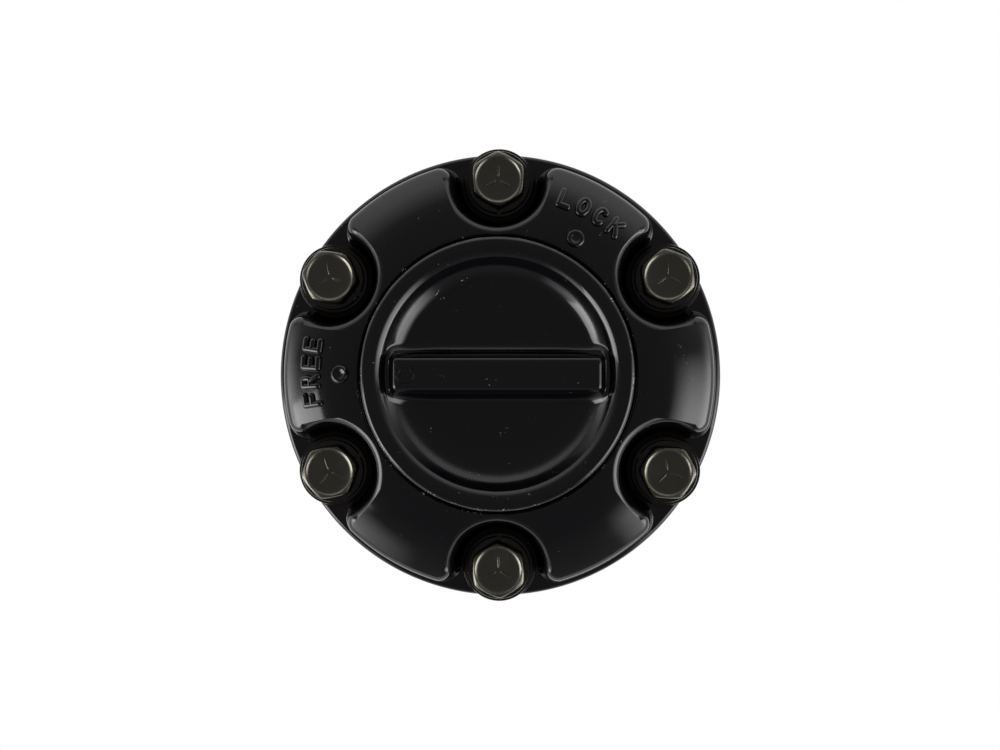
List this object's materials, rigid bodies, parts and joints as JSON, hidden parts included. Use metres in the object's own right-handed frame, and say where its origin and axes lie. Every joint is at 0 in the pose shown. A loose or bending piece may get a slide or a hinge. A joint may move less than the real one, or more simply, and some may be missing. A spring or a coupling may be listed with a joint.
{
  "type": "manual locking hub",
  "caption": "Manual locking hub for a front axle: splined body, domed cover with bolt recesses, and a turning control knob that shifts a clutch between FREE and LOCK.",
  "frame": {"origin": "centre of the bolt circle on the rear face that meets the wheel hub", "axes": "+Z along the axle, out to the control knob; +Y is up in the picture; the knob's pointer is at -X, on FREE"},
  "size_m": [0.1054, 0.1074, 0.0716],
  "materials": {
    "painted_casting": "gloss black paint over cast metal",
    "bolt_steel": "dark olive chromate",
    "washer_steel": "black oxide",
    "gear_steel": "machined, lightly oiled",
    "spring_steel": "drawn wire and stamped rings",
    "bronze": "plain bearing bronze",
    "seal_rubber": "matte black rubber"
  },
  "bodies": {
    "casing": {"hub_body": "painted_casting", "inner_hub_bush": "bronze", "thrust_washer": "gear_steel", "cam_sleeve": "gear_steel", "cover": "painted_casting", "cover_o_ring": "seal_rubber", "hub_bolts": "bolt_steel", "spring_washers": "washer_steel", "plain_washers": "washer_steel", "return_spring": "spring_steel"},
    "inner_hub": {"inner_hub": "gear_steel", "inner_hub_snap_ring": "spring_steel"},
    "knob": {"control_knob": "painted_casting", "knob_o_ring": "seal_rubber", "knob_snap_ring": "spring_steel", "detent_ball": "gear_steel", "detent_spring": "spring_steel"},
    "follower": {"follower": "gear_steel"},
    "clutch": {"clutch_ring": "gear_steel", "shift_spring": "spring_steel"}
  },
  "joints": [
    {"name": "inner_hub_spin", "type": "hinge", "parent": "casing", "child": "inner_hub", "pos_m": [0, 0, 0], "axis": [0, 0, 1], "continuous": true},
    {"name": "knob_turn", "type": "hinge", "parent": "casing", "child": "knob", "pos_m": [0, 0, 0], "axis": [0, 0, 1], "range_deg": [-120, 0]},
    {"name": "follower_slide", "type": "slide", "parent": "knob", "child": "follower", "axis": [0, 0, 1], "range_m": [-0.0075, 0]},
    {"name": "clutch_slide", "type": "slide", "parent": "casing", "child": "clutch", "axis": [0, 0, 1], "range_m": [-0.0075, 0], "deforming": ["return_spring"]}
  ],
  "couplings": [
    {"joint": "follower_slide", "follows": "knob_turn", "m_per_rad": 0.0035809},
    {"joint": "clutch_slide", "follows": "knob_turn", "m_per_rad": 0.0035809}
  ]
}
